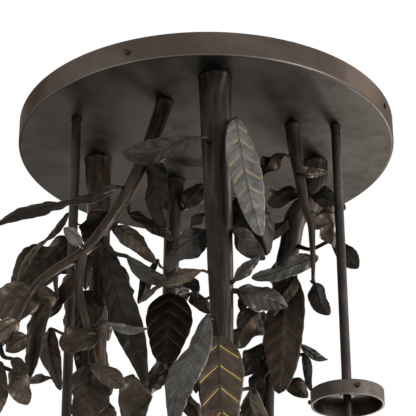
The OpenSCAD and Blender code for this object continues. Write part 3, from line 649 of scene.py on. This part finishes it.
def leaf_lift(leaf, look, u, v, half, vein):
    """How far the sheet stands off its middle: folds, curl, pleats, ripples, creases, midrib."""
    first, second = look.shifts
    out = np.abs(v)
    taper = np.sin(np.pi * np.clip(u, *TIPS)) ** 0.3
    phase = vein - np.floor(vein)
    rise, fall = phase / PLEAT_CREST, (1 - phase) / (1 - PLEAT_CREST)
    pleat = np.where(phase < PLEAT_CREST, rise, fall) - 0.5
    beat = u * look.waves * FULL_TURN
    sway = np.where(v > 0, np.sin(beat + first), np.sin(beat + second))
    lengths, widths = u[:, 0] * leaf.length / CRUMPLE_LENGTH, v * half / CRUMPLE_WIDTH
    crumple = np.array([[creased(a, b, first) for b in row] for a, row in zip(lengths, widths)])
    fold = np.where(v > 0, *look.folds) * (1 + 0.5 * np.sin(u * 5 + second))
    lift = half * fold * (0.45 - out ** 1.2)
    lift = lift + look.curl * half * np.maximum(0, out - 0.55) ** 2 * (1 + sway)
    lift = lift + PLEAT_SHARE * look.pitch * pleat * np.minimum(1, 5 * out) * taper
    lift = lift + look.ripple * half * out ** 2 * sway
    lift = lift + CRUMPLE * look.calm * half * crumple * out
    rib = RIB_HEIGHT * (1 - 0.75 * u) * np.exp(-(v * half / RIB_WIDTH) ** 2)
    return lift + rib + look.hook * u ** 2.5


def leaf_mesh(leaf, look):
    """Points, faces and layers of one embossed leaf, twisted about its midrib."""
    u, v, half, vein = leaf_grid(leaf, look)
    lift = leaf_lift(leaf, look, u, v, half, vein)
    swing = look.turn * np.sin(2 * np.pi * u * look.waves / 1.4 + look.shifts[0])
    angle = look.twist * (u - 0.3) + swing
    side = np.cos(angle)[..., None] * leaf.side + np.sin(angle)[..., None] * leaf.normal
    normal = np.cos(angle)[..., None] * leaf.normal - np.sin(angle)[..., None] * leaf.side
    mid = leaf.base + leaf.blade * u[..., None] + leaf.bow * (4 * u * (1 - u))[..., None]
    mid = mid + leaf.side * (look.wander * np.sin(2 * np.pi * u))[..., None]
    blade = mid + side * (v * half)[..., None] + normal * lift[..., None]
    rows, columns = blade.shape[:2]
    same = np.ones(rows * columns)
    layers = {
        "vein": vein.reshape(-1),
        "across": (np.abs(v) * half / MM).reshape(-1),
        "edge": np.broadcast_to(np.abs(v), (rows, columns)).reshape(-1),
        "tone": same * look.tone,
        "warm": same * look.warm,
        "chance": same * look.chance,
        "gild": same * look.gild,
    }
    return list(blade.reshape(-1, 3)), grid_faces(rows, columns), layers


def stem_mesh(leaf):
    """Points and faces of the stem: a bent flat tube from the branch into the leaf's midrib."""
    reach = leaf.base + leaf.blade * STEM_END + leaf.bow * STEM_BOW
    length = np.linalg.norm(leaf.base - leaf.start)
    sag = np.array([0, 0, -STEM_SAG * length]) + STEM_SWAY * length * leaf.side
    route = np.array([leaf.start, leaf.start * 0.5 + leaf.base * 0.5 + sag, leaf.base, reach])
    radii = np.array([STEM_R * 1.5, STEM_R * 1.1, STEM_R, STEM_R * 0.5])
    path, radius, _ = smooth_path(route, radii, 3.0 * MM)
    points = []
    for centre, r, d in zip(path, radius, directions(path)):
        x = np.cross(d, leaf.normal)
        x /= max(np.linalg.norm(x), 0.2)
        y = np.cross(x, d)
        for k in range(STEM_SIDES):
            a = 2 * math.pi * k / STEM_SIDES
            points.append(centre + r * (STEM_WIDE * math.cos(a) * x + STEM_THIN * math.sin(a) * y))
    return points, tube_faces(len(path), STEM_SIDES) + end_faces(len(points), STEM_SIDES)


def make_leaves(node, finishes, material, rim):
    """All leaves of one CAD node as one piece of thin sheet with flat stems."""
    leaves = leaves_of(node)
    if leaves is None:
        return
    points, faces, sheet = [], [], []
    layers = {name: [] for name in ("vein", "across", "edge", "tone", "warm", "chance", "gild")}
    for index, leaf in enumerate(leaves):
        finish = finishes[index] if index < len(finishes) else "b"
        look = Embossing(leaf, finish, random.Random(f"{node}{index}"))
        blade, blade_faces, facts = leaf_mesh(leaf, look)
        stem, stem_faces = stem_mesh(leaf)
        first = len(points)
        points += blade
        faces += [tuple(first + i for i in f) for f in blade_faces]
        sheet += range(first, first + len(blade))
        for name, values in facts.items():
            layers[name] += list(values)
        first = len(points)
        points += stem
        faces += [tuple(first + i for i in f) for f in stem_faces]
        fill = {"vein": 0.5, "across": 9.0, "edge": 0.0, "tone": 0.2 + 0.4 * look.tone,
                "warm": 0.7, "chance": 0.0, "gild": 0.0}
        for name, value in fill.items():
            layers[name] += [value] * len(stem)
    name = node.replace("_leaves", "_foliage")
    piece = new_piece(name, points, faces, material, "fixture", node)
    for name, values in layers.items():
        float_layer(piece.data, name, values)
    group = piece.vertex_groups.new(name="sheet")
    group.add(list(sheet), 1.0, "REPLACE")
    thick = piece.modifiers.new("sheet", "SOLIDIFY")
    thick.thickness = SHEET
    thick.offset = 0.0
    thick.vertex_group = "sheet"
    thick.thickness_vertex_group = 0.0
    piece.data.materials.append(rim)
    thick.material_offset_rim = 1


KNURL_SIDES = 72
KNURL_BITE = 0.35 * MM
KNURL_EDGE_ANGLE = math.radians(35)


def make_thumb_screw(node, axis, material):
    """A thumb screw with a knurled, dished head, lathed along its joint's axis."""
    co = [v.co.copy() for v in frame["nodes"][node].data.vertices]
    low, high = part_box(node)
    centre = (low + high) / 2
    axis = Vector(axis).normalized()
    reach = [(p - centre).dot(axis) for p in co]
    wide = [((p - centre) - axis * (p - centre).dot(axis)).length for p in co]
    head_r = max(wide)
    shank_r = min(w for w in wide if w > 0.5 * MM)
    head_at = min(t for t, w in zip(reach, wide) if w > head_r * 0.9)
    inner, outer = min(reach), max(reach)
    x = axis.orthogonal().normalized()
    y = axis.cross(x)
    profile = [
        # place along the axis, radius, whether it is knurled
        (inner, 0.0, 0), (inner, shank_r * 0.7, 0), (inner + 1 * MM, shank_r, 0),
        (head_at, shank_r, 0), (head_at, head_r * 0.86, 0), (head_at + 0.5 * MM, head_r, 1),
        (outer - 0.6 * MM, head_r, 1), (outer, head_r * 0.86, 0), (outer, head_r * 0.55, 0),
        (outer - 0.5 * MM, head_r * 0.4, 0), (outer - 0.5 * MM, 0.0, 0),
    ]
    points = []
    for t, r, knurled in profile:
        for k in range(KNURL_SIDES):
            a = 2 * math.pi * k / KNURL_SIDES
            bite = KNURL_BITE * (k % 3 == 0) * knurled
            points.append(centre + axis * t + (r - bite) * (math.cos(a) * x + math.sin(a) * y))
    faces = tube_faces(len(profile), KNURL_SIDES)
    piece = new_piece(node + "_knurled", points, faces, material, node, node)
    piece.modifiers.new("crisp", "EDGE_SPLIT").split_angle = KNURL_EDGE_ANGLE


# Dressing the object

# The canopy's wall is browner than its underside, from just above the rolled edge; the last colour is the painted
# highlight along the rolled edge
CANOPY_WALL_AND_EDGE_HIGHLIGHT = (srgb(76, 67, 59), srgb(92, 82, 76), -36 * MM, srgb(116, 109, 102))
MATERIALS = {
    "canopy": aged_bronze("canopy_bronze", srgb(48, 46, 43), srgb(58, 55, 52), 7.0,
                          metallic=1.0, rough=(0.40, 0.48), rim=CANOPY_WALL_AND_EDGE_HIGHLIGHT, sheen=0.4),
    "gallery": aged_bronze("gallery_bronze", srgb(64, 55, 50), srgb(86, 77, 71), 22.0),
    "rod": aged_bronze("rod_bronze", srgb(44, 40, 38), srgb(61, 55, 51), 16.0,
                       rough=(0.40, 0.52), sheen=0.7),
    "trunk": bark("bark_trunk", srgb(25, 22, 20), srgb(37, 33, 31), srgb(80, 76, 74),
                  srgb(39, 33, 29), relief=0.5),
    "brown": bark("bark_brown", srgb(34, 27, 22), srgb(49, 41, 34), srgb(84, 74, 64),
                  srgb(62, 46, 37)),
    "thick": bark("bark_thick", srgb(24, 20, 18), srgb(44, 38, 34), srgb(80, 71, 65),
                  srgb(54, 43, 37), relief=0.6),
    "leaf": leaf_patina(),
    "leaf_edge": plain_metal("leaf_edge", srgb(66, 60, 55), 0.5),
    "zinc": plain_metal("zinc_plate", srgb(190, 190, 186), 0.32),
    "brass": plain_metal("screw_brass", srgb(214, 184, 110), 0.28),
    "green": moulded("ground_green", srgb(60, 140, 80), 0.35),
    "black": moulded("holder_phenolic", srgb(28, 27, 26), 0.5),
    "ivory": moulded("block_ivory", srgb(226, 222, 208), 0.4),
}
SLOT_MATERIAL = {
    "bronze_paint": "rod", "branch_metal": "brown", "leaf_metal": "leaf", "zinc_steel": "zinc",
    "brass_screws": "brass", "ground_paint": "green", "holder_plastic": "black",
    "block_plastic": "ivory",
}


def dress_cad_nodes():
    """Gives each CAD node the material of its slot, for the pieces that nothing replaces."""
    for row in frame["record"]["subparts"]:
        node = frame["nodes"][row["node"]]
        name = SLOT_MATERIAL[row["material_slot"]]
        if row["node"] == "canopy_pan":
            name = "canopy"
        if row["node"].startswith("gallery_"):
            name = "gallery"
        node.data.materials.clear()
        node.data.materials.append(MATERIALS[name])


def make_camera():
    """The photograph's camera, as yaw, pitch and roll about the row frame."""
    yaw, pitch, roll = (math.radians(a) for a in (CAMERA_YAW, CAMERA_PITCH, CAMERA_ROLL))
    forward = Vector((math.sin(yaw) * math.cos(pitch), math.cos(yaw) * math.cos(pitch),
                      math.sin(pitch)))
    level = Vector((math.cos(yaw), -math.sin(yaw), 0))
    up = level.cross(forward)
    right = math.cos(roll) * level + math.sin(roll) * up
    top = -math.sin(roll) * level + math.cos(roll) * up
    data = bpy.data.cameras.new("camera")
    data.sensor_width = SENSOR_MM
    data.lens = FOCAL_PX / FRAME_PX * SENSOR_MM
    data.clip_end = CLIP_END
    camera = bpy.data.objects.new("camera", data)
    turn = Matrix((right, top, -forward)).transposed().to_4x4()
    camera.matrix_world = Matrix.Translation(CAMERA_AT) @ turn
    bpy.context.scene.collection.objects.link(camera)
    bpy.context.scene.camera = camera


WORLD_STRENGTH = 0.35
WHITE = (1.0, 1.0, 1.0, 1.0)


def make_world():
    """Soft even light, and plain white where the camera, metal or glass sees the background."""
    world = bpy.data.worlds.new("studio")
    bpy.context.scene.world = world
    world.use_nodes = True
    tree = world.node_tree
    shown = tree.nodes["Background"].outputs[0]
    white = tree.nodes.new("ShaderNodeBackground")
    for name, strength in (("Background", WORLD_STRENGTH), (white.name, 1.0)):
        tree.nodes[name].inputs["Color"].default_value = WHITE
        tree.nodes[name].inputs["Strength"].default_value = strength
    path = tree.nodes.new("ShaderNodeLightPath")
    for ray in ("Is Camera Ray", "Is Glossy Ray", "Is Transmission Ray"):
        shown = switch(tree, path.outputs[ray], shown, white.outputs[0])
    tree.links.new(shown, tree.nodes["World Output"].inputs["Surface"])


def switch(tree, share, first, second):
    """Shows the second shader for the share that is 1, and the first elsewhere."""
    node = tree.nodes.new("ShaderNodeMixShader")
    tree.links.new(share, node.inputs[0])
    tree.links.new(first, node.inputs[1])
    tree.links.new(second, node.inputs[2])
    return node.outputs[0]


LAMPS = {
    # name: place, aim, width, height, watts. The two behind shine on the canopy's underside
    "key_right": ((2.2, -1.6, -0.6), (0.0, 0.0, -0.25), 0.9, 0.9, 75),
    "fill_left": ((-2.4, -1.8, -1.2), (0.0, 0.0, -0.25), 2.0, 2.0, 16),
    "edge_right": ((2.3, 0.5, 0.8), (0.0, -0.1, -0.4), 0.8, 0.8, 17),
    "back_right": ((1.4, 2.1, -1.55), (0.15, 0.1, -0.04), 1.0, 1.0, 155),
    "back_low": ((-0.35, 2.4, -2.3), (0.0, -0.2, -0.04), 1.8, 0.5, 23),
}


def make_lamps():
    """Area lamps, each turned to its aim."""
    for name, (place, aim, width, height, watts) in LAMPS.items():
        data = bpy.data.lights.new(name, "AREA")
        data.energy = watts
        data.shape = "RECTANGLE"
        data.size, data.size_y = width, height
        lamp = bpy.data.objects.new(name, data)
        lamp.location = place
        lamp.rotation_euler = (Vector(aim) - Vector(place)).to_track_quat("-Z", "Y").to_euler()
        bpy.context.scene.collection.objects.link(lamp)


FLOOR_HALF, FLOOR_Z = 30.0, -6.0
PAPER = (0.9, 0.9, 0.9, 1.0)


def make_floor():
    """A floor of pale paper, which metal sees as white like the rest of the background."""
    mesh = bpy.data.meshes.new("floor")
    corners = [(x * FLOOR_HALF, y * FLOOR_HALF, FLOOR_Z)
               for x, y in ((-1, -1), (1, -1), (1, 1), (-1, 1))]
    mesh.from_pydata(corners, [], [(0, 1, 2, 3)])
    floor = bpy.data.objects.new("floor", mesh)
    material = bpy.data.materials.new("floor_paper")
    material.use_nodes = True
    tree = material.node_tree
    paper = tree.nodes["Principled BSDF"]
    paper.inputs["Base Color"].default_value = PAPER
    white = tree.nodes.new("ShaderNodeEmission")
    white.inputs["Strength"].default_value = 1.0
    white.inputs["Color"].default_value = WHITE
    path = tree.nodes.new("ShaderNodeLightPath")
    shown = switch(tree, path.outputs["Is Glossy Ray"], paper.outputs[0], white.outputs[0])
    tree.links.new(shown, tree.nodes["Material Output"].inputs["Surface"])
    mesh.materials.append(material)
    bpy.context.scene.collection.objects.link(floor)


make_camera()
make_world()
make_lamps()
make_floor()
dress_cad_nodes()
for node, (grooves, depth, waviness, kind) in BRANCHES.items():
    make_branch(node, grooves, depth, waviness, MATERIALS[kind])
for node, finishes in LEAF_FINISH.items():
    make_leaves(node, finishes, MATERIALS["leaf"], MATERIALS["leaf_edge"])
for joint in frame["joints"]:
    if joint["child"].startswith("thumb_screw"):
        make_thumb_screw(joint["child"], joint["axis"], MATERIALS["rod"])
bpy.context.scene.view_settings.view_transform = "Standard"
